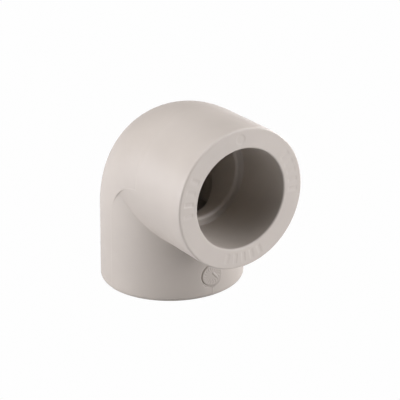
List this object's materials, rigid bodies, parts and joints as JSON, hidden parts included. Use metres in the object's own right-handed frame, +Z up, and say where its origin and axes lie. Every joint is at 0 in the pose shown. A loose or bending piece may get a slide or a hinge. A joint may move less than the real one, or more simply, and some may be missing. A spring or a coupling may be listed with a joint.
{
  "type": "pipe elbow",
  "caption": "Plain moulded plastic 90 degree pipe elbow with a smooth socket at each end, a flat stop shoulder in each socket and a swept bend between them.",
  "frame": {"origin": "centre of the lower socket's mouth, on the plane that the elbow stands on", "axes": "+Z up the lower socket's axis, +X out along the side socket's axis, Y across the plane of symmetry"},
  "size_m": [0.0586, 0.0436, 0.0586],
  "materials": {
    "grey_polypropylene": "satin moulded plastic"
  },
  "bodies": {
    "root": {"elbow_body": "grey_polypropylene"}
  },
  "joints": []
}
